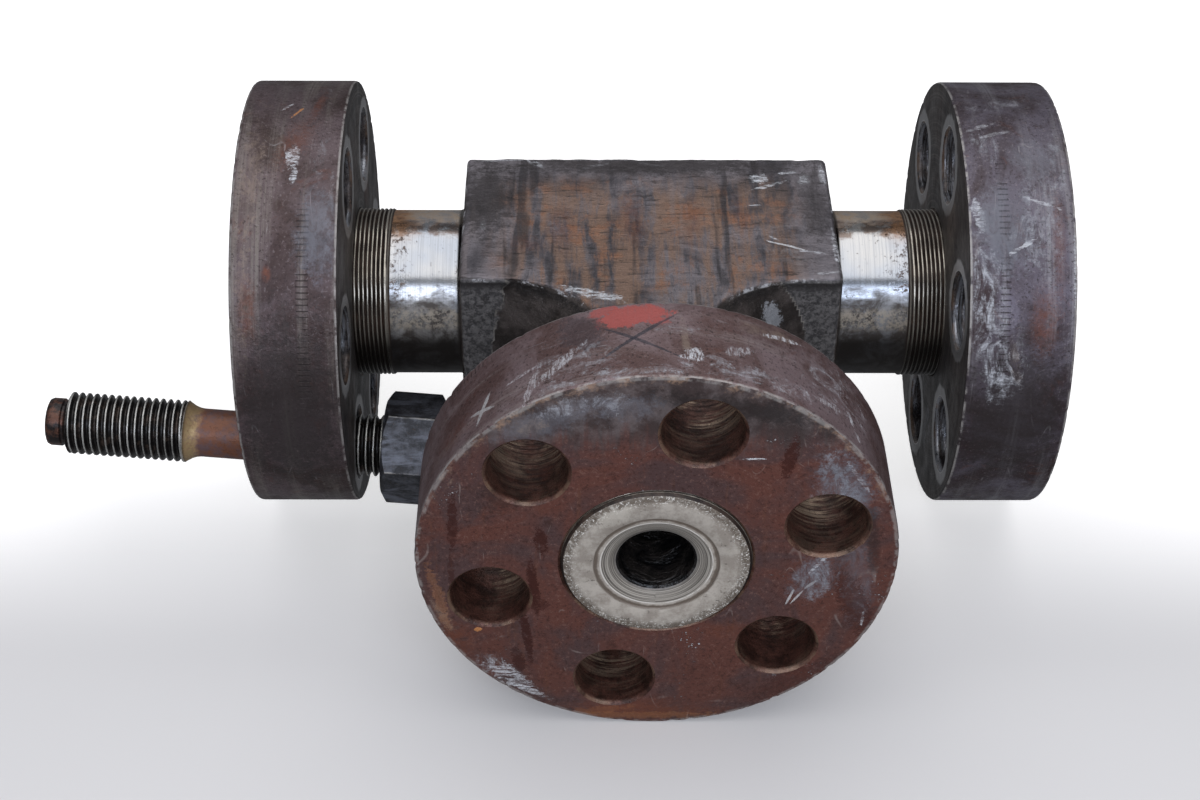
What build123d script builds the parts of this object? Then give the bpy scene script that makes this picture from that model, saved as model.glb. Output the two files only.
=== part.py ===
from build123d import *
import os
from math import cos, radians, sin

# Forged high-pressure pipe tee with three screwed flanges and one loose stud. Millimetres.
# The run lies along X, the branch leaves along -Y, and the origin is where their axes cross.

# Forged body
block_length = 174.0
block_depth = 98.0
block_height = 90.0
block_edge = 5.0
boss_radius = 50.0
boss_reach = 87.0
boss_blend = 30.0
boss_edge = 3.0
bore_radius = 16.0

# Spigots, measured outwards from the origin
neck_radius = 39.0
neck_fillet = 2.0
thread_radius = 39.75
thread_start = 120.0
thread_lead_in = 1.0
spigot_reach = 185.5
spigot_chamfer = 1.5
root_overlap = 5.0
cut_overrun = 1.0

# Lens seat in each spigot's end
recess_radius = 25.8
recess_depth = 0.7
cone_outer_radius = 23.15
cone_inner_radius = 16.9
cone_depth = 2.3
bore_chamfer = 0.9

# Screwed flanges
flange_radius = 100.0
flange_thickness = 47.0
flange_inner_face = 137.0
flange_rim_chamfer = 1.2
flange_bore_clearance = 0.05
flange_bore_chamfer = 1.0
bolt_circle_radius = 72.5
bolt_count = 6
bolt_hole_radius = 16.5
bolt_hole_chamfer = 1.5
edge_match = 0.01

# How far each flange is screwed round, in degrees about its own outward axis
left_flange_turn = 17.8
right_flange_turn = 29.2
branch_flange_turn = 16.6

# Waisted stud, and its heavy nut
stud_length = 191.4
stud_thread_radius = 14.7
stud_shank_radius = 11.5
stud_pilot_radius = 11.3
stud_pilot_length = 8.0
stud_pilot_chamfer = 1.5
stud_thread_chamfer = 2.0
stud_thread_length = 57.5
stud_flare_length = 6.5
stud_left_x = -283.9
stud_cross_y = -54.8
stud_cross_z = -49.6
stud_direction = Vector(0.9973, -0.0485, -0.0556).normalized()

nut_across_flats = 46.0
nut_thickness = 28.0
nut_chamfer_rise = 3.0
nut_chamfer_inset = 0.7
nut_corner_overrun = 0.5
nut_bore_clearance = 0.05
nut_bore_chamfer = 1.5
nut_left_x = -124.6
nut_flat_tilt = 44.0

os.makedirs("parts", exist_ok=True)


def profile_plane(outward):
    # A plane holding the outward axis as its Y, for half-sections drawn as (radius, distance)
    across = Vector(0, 0, 1)
    return Plane(origin=(0, 0, 0), x_dir=across, z_dir=across.cross(Vector(*outward)))


def flange_plane(outward, distance):
    # The plane of a flange's inner face, with its Z outwards
    outward = Vector(*outward)
    return Plane(origin=outward * distance, x_dir=outward.cross(Vector(0, 0, 1)), z_dir=outward)


right_way = (1, 0, 0)
left_way = (-1, 0, 0)
branch_way = (0, -1, 0)

# The tee's forging: a rounded block, a round boss blended into its front, and three spigots
half_depth = block_depth / 2
half_height = block_height / 2
half_length = block_length / 2
fillet_radius = neck_radius + neck_fillet
bore_end = spigot_reach - recess_depth - cone_depth

with BuildPart() as tee_body:
    with BuildSketch(profile_plane(branch_way)):
        with BuildLine():
            Line((0, 0), (boss_radius + boss_blend, 0))
            Line((boss_radius + boss_blend, 0), (boss_radius + boss_blend, half_depth))
            JernArc((boss_radius + boss_blend, half_depth), (-1, 0), boss_blend, -90)
            Line((boss_radius, half_depth + boss_blend), (boss_radius, boss_reach - boss_edge))
            Line((boss_radius, boss_reach - boss_edge), (boss_radius - boss_edge, boss_reach))
            Line((boss_radius - boss_edge, boss_reach), (0, boss_reach))
            Line((0, boss_reach), (0, 0))
        make_face()
    revolve(axis=Axis((0, 0, 0), branch_way))
    split(bisect_by=Plane.XY.offset(half_height), keep=Keep.BOTTOM)
    split(bisect_by=Plane.XY.offset(-half_height), keep=Keep.TOP)
    Box(block_length, block_depth, block_height)
    back_edges = tee_body.edges().filter_by(Axis.X).group_by(Axis.Y)[-1]
    fillet(back_edges, block_edge)

    for outward, root in ((left_way, half_length), (right_way, half_length), (branch_way, boss_reach)):
        inside = root - root_overlap
        with BuildSketch(profile_plane(outward)):
            with BuildLine():
                Polyline((0, inside), (fillet_radius, inside), (fillet_radius, root))
                JernArc((fillet_radius, root), (-1, 0), neck_fillet, -90)
                Polyline(
                    (neck_radius, root + neck_fillet),
                    (neck_radius, thread_start),
                    (thread_radius, thread_start + thread_lead_in),
                    (thread_radius, spigot_reach - spigot_chamfer),
                    (thread_radius - spigot_chamfer, spigot_reach),
                    (0, spigot_reach),
                    (0, inside),
                )
            make_face()
        revolve(axis=Axis((0, 0, 0), outward))

        with BuildSketch(profile_plane(outward)):
            with BuildLine():
                Polyline(
                    (0, 0),
                    (bore_radius, 0),
                    (bore_radius, bore_end - bore_chamfer),
                    (cone_inner_radius, bore_end),
                    (cone_outer_radius, spigot_reach - recess_depth),
                    (recess_radius, spigot_reach - recess_depth),
                    (recess_radius, spigot_reach + cut_overrun),
                    (0, spigot_reach + cut_overrun),
                    close=True,
                )
            make_face()
        revolve(axis=Axis((0, 0, 0), outward), mode=Mode.SUBTRACT)


def circles_of(radius, edges):
    # The circular edges of one radius
    circles = edges.filter_by(GeomType.CIRCLE)
    return circles.filter_by(lambda edge: abs(edge.radius - radius) < edge_match)


def make_flange(outward, turn):
    # A plain round flange with a threaded bore, six bolt holes and chamfered edges
    flange_bore_radius = thread_radius + flange_bore_clearance
    with BuildPart() as flange:
        with BuildSketch(flange_plane(outward, flange_inner_face)) as outline:
            Circle(flange_radius)
            Circle(flange_bore_radius, mode=Mode.SUBTRACT)
            with PolarLocations(bolt_circle_radius, bolt_count, start_angle=turn):
                Circle(bolt_hole_radius, mode=Mode.SUBTRACT)
        extrude(outline.sketch, amount=flange_thickness)
        chamfer(circles_of(flange_radius, flange.edges()), flange_rim_chamfer)
        chamfer(circles_of(bolt_hole_radius, flange.edges()), bolt_hole_chamfer)
        chamfer(circles_of(flange_bore_radius, flange.edges()), flange_bore_chamfer)
    return flange.part


# The stud lies slightly askew through one bolt hole of the left flange
stud_cross = Vector(-flange_inner_face, stud_cross_y, stud_cross_z)


def stud_point(x):
    return stud_cross + stud_direction * ((x - stud_cross.X) / stud_direction.X)


def across_stud(way):
    # The part of a direction that is square to the stud, at length 1
    return (way - stud_direction * way.dot(stud_direction)).normalized()


up_from_stud = across_stud(Vector(0, 0, 1))
thread_end = stud_pilot_length + stud_thread_length
right_thread_start = stud_length - thread_end

with BuildPart() as stud:
    stud_half_plane = Plane(
        origin=stud_point(stud_left_x),
        x_dir=up_from_stud,
        z_dir=up_from_stud.cross(stud_direction),
    )
    with BuildSketch(stud_half_plane):
        with BuildLine():
            Polyline(
                (0, 0),
                (stud_pilot_radius - stud_pilot_chamfer, 0),
                (stud_pilot_radius, stud_pilot_chamfer),
                (stud_pilot_radius, stud_pilot_length),
                (stud_thread_radius - stud_thread_chamfer, stud_pilot_length),
                (stud_thread_radius, stud_pilot_length + stud_thread_chamfer),
                (stud_thread_radius, thread_end),
                (stud_shank_radius, thread_end + stud_flare_length),
                (stud_shank_radius, right_thread_start - stud_flare_length),
                (stud_thread_radius, right_thread_start),
                (stud_thread_radius, stud_length - stud_pilot_length - stud_thread_chamfer),
                (stud_thread_radius - stud_thread_chamfer, stud_length - stud_pilot_length),
                (stud_pilot_radius, stud_length - stud_pilot_length),
                (stud_pilot_radius, stud_length - stud_pilot_chamfer),
                (stud_pilot_radius - stud_pilot_chamfer, stud_length),
                (0, stud_length),
                close=True,
            )
        make_face()
    revolve(axis=Axis(stud_point(stud_left_x), stud_direction))

# The nut's flats are turned so that one of them faces forwards and up
flat_way = across_stud(Vector(0, -cos(radians(nut_flat_tilt)), sin(radians(nut_flat_tilt))))
nut_inner_radius = nut_across_flats / 2
nut_corner_radius = nut_inner_radius / cos(radians(30))
nut_bore_radius = stud_thread_radius + nut_bore_clearance

with BuildPart() as stud_nut:
    nut_face = Plane(origin=stud_point(nut_left_x), x_dir=flat_way, z_dir=stud_direction)
    with BuildSketch(nut_face):
        RegularPolygon(nut_inner_radius, 6, major_radius=False, rotation=30)
    extrude(amount=nut_thickness)
    nut_half_plane = Plane(
        origin=nut_face.origin,
        x_dir=flat_way,
        z_dir=flat_way.cross(stud_direction),
    )
    chamfer_radius = nut_inner_radius - nut_chamfer_inset
    corner_cut = nut_corner_radius + nut_corner_overrun
    with BuildSketch(nut_half_plane):
        with BuildLine():
            Polyline(
                (nut_bore_radius + nut_bore_chamfer, 0),
                (chamfer_radius, 0),
                (corner_cut, nut_chamfer_rise),
                (corner_cut, nut_thickness - nut_chamfer_rise),
                (chamfer_radius, nut_thickness),
                (nut_bore_radius + nut_bore_chamfer, nut_thickness),
                (nut_bore_radius, nut_thickness - nut_bore_chamfer),
                (nut_bore_radius, nut_bore_chamfer),
                close=True,
            )
        make_face()
    revolve(axis=Axis(nut_face.origin, stud_direction), mode=Mode.INTERSECT)

finished_parts = {
    "tee_body": tee_body.part,
    "left_flange": make_flange(left_way, left_flange_turn),
    "right_flange": make_flange(right_way, right_flange_turn),
    "branch_flange": make_flange(branch_way, branch_flange_turn),
    "stud": stud.part,
    "stud_nut": stud_nut.part,
}
for name, part in finished_parts.items():
    part.label = name
    export_step(part, f"parts/{name}.step")
    print(name, round(part.volume), part.bounding_box())
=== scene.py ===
from math import cos, pi, radians, sin, sqrt

import bpy
import numpy as np
from mathutils import Matrix, Vector, noise


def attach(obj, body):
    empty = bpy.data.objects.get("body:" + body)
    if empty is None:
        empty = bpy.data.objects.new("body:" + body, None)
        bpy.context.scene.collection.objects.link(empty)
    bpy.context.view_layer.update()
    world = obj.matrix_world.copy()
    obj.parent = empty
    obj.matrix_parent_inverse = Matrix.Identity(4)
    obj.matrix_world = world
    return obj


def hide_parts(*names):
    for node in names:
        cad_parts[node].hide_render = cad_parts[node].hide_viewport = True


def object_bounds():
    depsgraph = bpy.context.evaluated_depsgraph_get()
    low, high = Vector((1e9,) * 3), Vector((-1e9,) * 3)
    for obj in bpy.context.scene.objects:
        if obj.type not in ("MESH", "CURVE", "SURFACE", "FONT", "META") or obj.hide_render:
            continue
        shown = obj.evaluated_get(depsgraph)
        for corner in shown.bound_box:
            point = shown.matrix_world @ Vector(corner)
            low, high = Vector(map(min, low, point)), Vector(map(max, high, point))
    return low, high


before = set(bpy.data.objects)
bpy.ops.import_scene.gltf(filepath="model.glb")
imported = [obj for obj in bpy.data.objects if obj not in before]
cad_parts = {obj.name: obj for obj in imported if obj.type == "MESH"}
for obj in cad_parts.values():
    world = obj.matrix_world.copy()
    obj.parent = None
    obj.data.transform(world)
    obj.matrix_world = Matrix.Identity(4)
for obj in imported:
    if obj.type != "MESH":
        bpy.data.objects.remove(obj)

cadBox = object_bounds()
mm = 0.001


# small tools shared by every piece

def letGo():
    if bpy.context.object and bpy.context.object.mode != "OBJECT":
        bpy.ops.object.mode_set(mode="OBJECT")
    bpy.ops.object.select_all(action="DESELECT")


def pick(piece, *others):
    letGo()
    for each in others:
        each.select_set(True)
    piece.select_set(True)
    bpy.context.view_layer.objects.active = piece


def modify(piece, kind, **settings):
    pick(piece)
    modifier = piece.modifiers.new(kind.lower(), kind)
    for key, value in settings.items():
        setattr(modifier, key, value)
    bpy.ops.object.modifier_apply(modifier=modifier.name)


def settle(piece, place):  # turns a piece into its place and leaves its origin at the frame's origin
    pick(piece)
    piece.matrix_world = place
    bpy.ops.object.transform_apply(location=True, rotation=True, scale=True)


def cutAway(piece, tool, operation="DIFFERENCE"):
    modify(piece, "BOOLEAN", object=tool, operation=operation, solver="EXACT")
    bpy.data.objects.remove(tool)


def cleanUp(piece, merge=0.00001):
    pick(piece)
    bpy.ops.object.mode_set(mode="EDIT")
    bpy.ops.mesh.select_all(action="SELECT")
    bpy.ops.mesh.remove_doubles(threshold=merge)
    bpy.ops.mesh.dissolve_degenerate(threshold=merge / 10)
    bpy.ops.mesh.select_all(action="SELECT")
    bpy.ops.mesh.normals_make_consistent(inside=False)
    bpy.ops.object.mode_set(mode="OBJECT")


def smoothUnder(piece, degrees):
    pick(piece)
    bpy.ops.object.shade_smooth_by_angle(angle=radians(degrees))


def getPoints(piece):
    flat = np.empty(len(piece.data.vertices) * 3)
    piece.data.vertices.foreach_get("co", flat)
    return flat.reshape(-1, 3)


def setPoints(piece, points):
    piece.data.vertices.foreach_set("co", points.ravel())
    piece.data.update()


def lathe(name, outline, steps, closed=True):
    # outline points are (radius, distance along X) in mm, with an optional count of rows up to the point
    letGo()
    bpy.ops.mesh.primitive_plane_add(size=0.001)
    piece = bpy.context.object
    piece.name = piece.data.name = name
    bpy.ops.object.mode_set(mode="EDIT")
    bpy.ops.mesh.merge(type="CENTER")
    last = Vector((outline[0][1] * mm, 0, outline[0][0] * mm))
    bpy.ops.transform.translate(value=last)
    for point in outline[1:]:
        there = Vector((point[1] * mm, 0, point[0] * mm))
        rows = point[2] if len(point) > 2 else 1
        for _ in range(rows):
            bpy.ops.mesh.extrude_region_move(TRANSFORM_OT_translate={"value": (there - last) / rows})
        last = there
    bpy.ops.mesh.select_all(action="SELECT")
    bpy.ops.mesh.spin(steps=steps, angle=2 * pi, center=(0, 0, 0), axis=(1, 0, 0))
    bpy.ops.object.mode_set(mode="OBJECT")
    if closed:
        cleanUp(piece)
    return piece


def winding(points, pitch):  # how far each point is through one turn of a right-hand thread about X, 0 to 1
    turn = np.arctan2(points[:, 2], points[:, 1]) / (2 * pi)
    return (points[:, 0] / pitch - turn) % 1


def cutThread(piece, start, end, crest, depth, pitch, fade, flat=0.14, land=0.14):
    # winds a V groove round a lathed piece, sinking it by depth (a negative depth cuts outwards, for a nut);
    # flat and land are the shares of the pitch left level in the root and on the crest
    points = getPoints(piece)
    along, radius = points[:, 0], np.hypot(points[:, 1], points[:, 2])
    onWall = (along >= start) & (along <= end) & (np.abs(radius - crest) < 0.00012)
    away = np.abs(winding(points, pitch) - 0.5) * 2  # 1 on the crest, 0 in the root
    groove = 1 - np.clip((away - flat) / (1 - flat - land), 0, 1)
    runOut = np.clip(np.minimum((along - start) / fade[0], (end - along) / fade[1]), 0, 1)
    sink = np.where(onWall, depth * groove * runOut, 0)
    points[:, 1:] *= ((radius - sink) / np.maximum(radius, 1e-9))[:, None]
    setPoints(piece, points)


def wobble(where, seed, low, high, waves=14):
    # a smooth uneven line made of a few waves, about -1 to 1
    chance = np.random.default_rng(seed)
    pitch = chance.integers(low, high, waves)
    shift = chance.uniform(0, 2 * pi, waves)
    return sum(np.sin(where * p + s) for p, s in zip(pitch, shift)) / sqrt(waves) / 1.4


print("frame loaded", [round(v, 4) for v in cadBox[0]], [round(v, 4) for v in cadBox[1]])

rightWay = Matrix.Identity(4)
leftWay = Matrix.Rotation(pi, 4, "Z")
branchWay = Matrix.Rotation(-pi / 2, 4, "Z")

# the tee's three spigots, with their threads, lens seats and the bores that meet in the middle

spigot = {
    "bore": 16, "throat": 181.6, "coneIn": 16.9, "coneEnd": 182.5, "coneOut": 23.15, "step": 184.8,
    "recess": 25.8, "end": 185.5, "chamfer": 1.5, "thread": 39.75, "threadStart": 120, "neck": 39,
    "root": 87, "foot": 41, "hidden": 36, "pitch": 2, "depth": 1.1, "rowsPerTurn": 9, "steps": 144,
}


def makeSpigotArm(name, place, root):
    s = spigot
    threadRows = int((s["end"] - s["chamfer"] - s["threadStart"] - 1) / s["pitch"] * s["rowsPerTurn"])
    arm = lathe(name, [
        (s["bore"], 0), (s["bore"], s["throat"]), (s["coneIn"], s["coneEnd"]),
        (s["coneOut"] - 0.25, s["step"] - 0.09), (s["coneOut"] + 0.3, s["step"]),
        (s["recess"], s["step"]), (s["recess"] + 0.25, s["end"] - 0.2), (s["recess"] + 0.6, s["end"]),
        (s["thread"] - s["chamfer"] - 0.4, s["end"]), (s["thread"] - s["chamfer"] + 0.3, s["end"] - 0.35),
        (s["thread"] - 0.25, s["end"] - s["chamfer"] + 0.1), (s["thread"], s["end"] - s["chamfer"] - 0.2),
        (s["thread"], s["threadStart"] + 1, threadRows), (s["neck"], s["threadStart"]),
        (s["neck"], root + 2, 6), (s["neck"] + 0.3, root + 1), (s["neck"] + 1, root + 0.3),
        (s["foot"], root),
        (s["foot"], root - 1.5), (s["hidden"], root - 3), (s["hidden"], 0),
    ], s["steps"], closed=False)
    cutThread(arm, (s["threadStart"] + 0.9) * mm, (s["end"] - s["chamfer"]) * mm, s["thread"] * mm,
              s["depth"] * mm, s["pitch"] * mm, (2.5 * mm, 1.5 * mm), 0.14, 0.3)
    points = getPoints(arm)
    inner = np.abs(points[:, 0]) < 0.0001
    across = points[:, 1]
    if place is branchWay:
        points[inner, 0] = np.abs(across[inner])
    else:
        toBranch = -across if place is rightWay else across
        points[inner, 0] = np.maximum(toBranch[inner], 0)
    setPoints(arm, points)
    settle(arm, place)
    return arm


spigots = makeSpigotArm("tee_spigots", rightWay, spigot["root"])
leftArm = makeSpigotArm("leftArm", leftWay, spigot["root"])
branchArm = makeSpigotArm("branchArm", branchWay, spigot["root"])
pick(spigots, leftArm, branchArm)
bpy.ops.object.join()
cleanUp(spigots, 0.00003)
smoothUnder(spigots, 38)
print("spigots", len(spigots.data.polygons))

# the forged block: a bevelled bar with a round boss blended into its front

block = {
    "size": (174, 98, 90), "bevel": 2.2, "boss": 50, "blend": 30, "reach": 87, "bossEdge": 3,
    "voxel": 1.15, "tunnel": 38.5, "swell": 0.6, "swellSize": 30, "grain": 0.5, "grainSize": 7,
    "flapLeft": 71, "flapRight": 62, "flapStep": 1.1, "flapRagged": 14,
}


def makeBlock():
    b = block
    length, depth, height = (v * mm for v in b["size"])
    letGo()
    bpy.ops.mesh.primitive_cube_add(size=1, scale=(length, depth, height))
    bar = bpy.context.object
    bar.name = bar.data.name = "tee_block"
    bpy.ops.object.transform_apply(location=False, rotation=False, scale=True)
    bpy.ops.object.mode_set(mode="EDIT")
    bpy.ops.mesh.select_all(action="SELECT")
    bpy.ops.mesh.bevel(offset=b["bevel"] * mm, segments=3, affect="EDGES")
    bpy.ops.object.mode_set(mode="OBJECT")

    half = b["size"][1] / 2
    swing = [radians(90 - 7.5 * step) for step in range(13)]
    blendArc = [(b["boss"] + b["blend"] * (1 - cos(a)), half + b["blend"] * (1 - sin(a))) for a in swing]
    boss = lathe("boss", [(0, 10), (80, 10)] + [(r, d) for r, d in sorted(blendArc, reverse=True)] + [
        (b["boss"], b["reach"] - b["bossEdge"]), (b["boss"] - b["bossEdge"], b["reach"]),
        (0, b["reach"])], 128)
    settle(boss, branchWay)
    bpy.ops.object.mode_set(mode="EDIT")
    for side in (1, -1):
        bpy.ops.mesh.select_all(action="SELECT")
        bpy.ops.mesh.bisect(plane_co=(0, 0, side * height / 2), plane_no=(0, 0, side), use_fill=True,
                            clear_outer=True)
    bpy.ops.object.mode_set(mode="OBJECT")
    cutAway(bar, boss, "UNION")
    modify(bar, "REMESH", mode="VOXEL", voxel_size=b["voxel"] * mm)
    modify(bar, "SMOOTH", factor=0.5, iterations=4)
    return bar


blockPiece = makeBlock()
print("block", len(blockPiece.data.polygons))


def makeTunnels():
    reach = block["size"][0]
    first = None
    for place, far in ((rightWay, reach), (leftWay, reach), (branchWay, reach)):
        tube = lathe("tunnel", [(0, 0), (block["tunnel"], 0), (block["tunnel"], far), (0, far)], 64,
                     closed=False)
        points = getPoints(tube)
        inner = np.abs(points[:, 0]) < 0.0001
        across = points[:, 1]
        if place is branchWay:
            points[inner, 0] = np.abs(across[inner])
        else:
            points[inner, 0] = np.maximum((-across if place is rightWay else across)[inner], 0)
        setPoints(tube, points)
        settle(tube, place)
        if first is None:
            first = tube
        else:
            pick(first, tube)
            bpy.ops.object.join()
    cleanUp(first)
    return first


# the flanges: each a turned ring with six bolt holes and a threaded bore

flange = {
    "inner": 137, "thickness": 47, "radius": 100, "bore": 39.8, "boltCircle": 72.5, "hole": 16.5,
    "holeChamfer": 1.5, "steps": 288, "pitch": 2, "threadDepth": 0.7, "groovePitch": 3.1,
    "grooveDepths": (0.5, 0.42, 0.14, 0.2, 0.1, 0.24),
}
flangeNear, flangeFar = flange["inner"], flange["inner"] + flange["thickness"]


def makeHoleTool(seed, groove):
    # the drilled hole, with stud marks pressed round part of its wall
    f = flange
    near, far = flangeNear, flangeFar
    h, c = f["hole"], f["holeChamfer"]
    rows = int((far - near - 2 * c) / f["groovePitch"] * 6)
    tool = lathe("holeTool", [
        (0, near - 1), (h + c, near - 1), (h + c, near), (h + c * 0.4, near + c * 0.45), (h, near + c + 0.2),
        (h, far - c - 0.2, rows), (h + c * 0.4, far - c * 0.45), (h + c, far), (h + c, far + 1),
        (0, far + 1),
    ], 64)
    cutThread(tool, (near + c) * mm, (far - c) * mm, h * mm, -groove * mm, f["groovePitch"] * mm,
              (4 * mm, 24 * mm), 0.3)
    points = getPoints(tool)
    radius, turn = np.hypot(points[:, 1], points[:, 2]), np.arctan2(points[:, 2], points[:, 1])
    marked = np.clip(-0.1 + 0.9 * np.cos(turn) + 0.7 * wobble(turn, seed, 2, 6, 5), 0, 1)
    onWall = (radius > h * mm) & (radius < (h + groove + 0.02) * mm)
    wanted = h * mm + (radius - h * mm) * marked
    points[onWall, 1:] *= (wanted / np.maximum(radius, 1e-9))[onWall, None]
    setPoints(tool, points)
    return tool


def makeFlange(name, place, turn, seed):
    f = flange
    near, far = flangeNear, flangeFar
    rows = int((f["thickness"] - 2) / f["pitch"] * 5)
    ring = lathe(name, [
        (f["bore"] + 1, near), (f["radius"] - 1.3, near), (f["radius"] - 0.45, near + 0.35),
        (f["radius"] - 0.08, near + 1.1), (f["radius"], near + 1.8), (f["radius"], far - 1.8, 8),
        (f["radius"] - 0.08, far - 1.1), (f["radius"] - 0.45, far - 0.35), (f["radius"] - 1.3, far),
        (f["bore"] + 1, far), (f["bore"], far - 1), (f["bore"], near + 1, rows), (f["bore"] + 1, near),
    ], f["steps"])
    cutThread(ring, (near + 1) * mm, (far - 1) * mm, f["bore"] * mm, -f["threadDepth"] * mm, f["pitch"] * mm,
              (2 * mm, 2 * mm))
    points = getPoints(ring)
    radius = np.hypot(points[:, 1], points[:, 2])
    around = np.arctan2(points[:, 2], points[:, 1])
    for face, inward in ((near, 1), (far, -1)):
        edge = (radius > (f["radius"] - 1.5) * mm) & (np.abs(points[:, 0] - face * mm) < 2 * mm)
        bite = np.clip(wobble(around, seed + face, 40, 130) - 0.45, 0, 1) * 0.6 * mm
        points[edge, 1:] *= (1 - bite[edge] / radius[edge])[:, None]
        points[edge, 0] += inward * bite[edge] * 0.5
    setPoints(ring, points)

    tools = []
    for number in range(6):
        angle = radians(turn + 60 * number)
        tool = makeHoleTool(seed + number, f["grooveDepths"][number])
        centre = Vector((0, -f["boltCircle"] * cos(angle) * mm, f["boltCircle"] * sin(angle) * mm))
        settle(tool, Matrix.Translation(centre) @ Matrix.Rotation(radians(-90), 4, "X"))
        tools.append(tool)
    pick(tools[0], *tools[1:])
    bpy.ops.object.join()
    cutAway(ring, tools[0])
    settle(ring, place)
    smoothUnder(ring, 32)
    return ring


flangePieces = {}
for name, place, turn, seed in (
    ("left_flange", leftWay, 42.2, 11), ("right_flange", rightWay, 30.8, 23),
    ("branch_flange", branchWay, 43.4, 37),
):
    flangePieces[name] = makeFlange(name + "_turned", place, turn, seed)
    print(name, len(flangePieces[name].data.polygons))

# the loose stud and its nut, both askew

stud = {
    "cross": (-137, -54.8, -49.6), "direction": (0.9973, -0.0485, -0.0556), "left": -283.9, "length": 191.4,
    "thread": 14.7, "threadLength": 57.5, "pitch": 3.5, "depth": 1.9, "shank": 11.5, "pilot": 11.3,
    "pilotLength": 8, "flare": 6.5, "rowsPerTurn": 14, "steps": 96,
}
nut = {"left": -124.6, "thickness": 28, "flats": 46, "tilt": 44, "chamfer": 3, "bore": 14.75, "edge": 0.5}

studWay = Vector(stud["direction"]).normalized()


def studPoint(x):
    cross = Vector(stud["cross"])
    return (cross + studWay * ((x - cross.x) / studWay.x)) * mm


def alongStud(origin, side):
    # a place whose X runs along the stud and whose Z is as near to side as it can be
    z = (side - studWay * side.dot(studWay)).normalized()
    y = z.cross(studWay)
    return Matrix.Translation(origin) @ Matrix((studWay, y, z)).transposed().to_4x4()


def makeStud():
    s = stud
    total, pilot, thread = s["length"], s["pilotLength"], s["thread"]
    leftEnd = pilot + s["threadLength"]
    rows = int(s["threadLength"] / s["pitch"] * s["rowsPerTurn"])
    half = [
        (0, 0), (s["pilot"] - 1.8, 0), (s["pilot"] - 0.6, 0.5), (s["pilot"], 1.8),
        (s["pilot"], pilot - 1.2, 2),
        (s["pilot"] - 0.9, pilot - 0.6), (s["pilot"] - 0.9, pilot + 0.3),
        (thread, pilot + 2.6, 6), (thread, leftEnd, rows), (thread - 0.5, leftEnd + 0.6),
        (thread - 2.1, leftEnd + 3.2),
        (s["shank"] + 0.3, leftEnd + 5.4), (s["shank"], leftEnd + s["flare"] + 1),
    ]
    other = [(point[0], total - point[1]) for point in half]
    rowsOut = [point[2] if len(point) > 2 else 1 for point in half]
    mirrored = [(s["shank"], other[-1][1], 10)] + [
        (other[k][0], other[k][1], rowsOut[k + 1]) for k in range(len(half) - 2, -1, -1)]
    piece = lathe("stud_rod", half + mirrored, s["steps"])
    crest = thread * mm
    for start, end in ((pilot + 2.5, leftEnd), (total - leftEnd, total - pilot - 2.5)):
        cutThread(piece, start * mm, end * mm, crest, s["depth"] * mm, s["pitch"] * mm, (1 * mm, 1 * mm),
                  0.2, 0.16)
    settle(piece, alongStud(studPoint(s["left"]), Vector((0, 0, 1))))
    smoothUnder(piece, 50)
    return piece


studPiece = makeStud()
print("stud", len(studPiece.data.polygons))


def makeNut():
    n = nut
    tall, flat = n["thickness"], n["flats"] / 2
    corner = flat / cos(radians(30))
    letGo()
    bpy.ops.mesh.primitive_cylinder_add(vertices=6, radius=corner * mm, depth=tall * mm,
                                        location=(tall / 2 * mm, 0, 0), rotation=(0, pi / 2, 0))
    piece = bpy.context.object
    piece.name = piece.data.name = "hex_nut"
    bpy.ops.object.transform_apply(location=True, rotation=True, scale=True)
    points = getPoints(piece)
    angle = np.arctan2(points[:, 2], points[:, 1])[0]
    settle(piece, Matrix.Rotation(-angle, 4, "X"))  # a corner on the Y axis, so a flat faces Z
    shell = lathe("nutShell", [
        (0, 0), (flat - 0.7, 0), (corner + 0.5, n["chamfer"]), (corner + 0.5, tall - n["chamfer"]),
        (flat - 0.7, tall),
        (0, tall)], 96)
    cutAway(piece, shell, "INTERSECT")
    rows = int((tall - 3) / stud["pitch"] * 10)
    core = lathe("nutCore", [
        (0, -1), (n["bore"] + 2.5, -1), (n["bore"], 1.5), (n["bore"], tall - 1.5, rows),
        (n["bore"] + 2.5, tall + 1),
        (0, tall + 1)], 72)
    cutThread(core, 1.5 * mm, (tall - 1.5) * mm, n["bore"] * mm, -1.6 * mm, stud["pitch"] * mm,
              (1 * mm, 1 * mm))
    modify(piece, "BEVEL", width=n["edge"] * mm, segments=2, limit_method="ANGLE", angle_limit=radians(25))
    cutAway(piece, core)
    tilt = radians(n["tilt"])
    settle(piece, alongStud(studPoint(n["left"]), Vector((0, -cos(tilt), sin(tilt)))))
    smoothUnder(piece, 30)
    return piece


nutPiece = makeNut()
print("nut", len(nutPiece.data.polygons))

tunnels = makeTunnels()
cutAway(blockPiece, tunnels)


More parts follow.
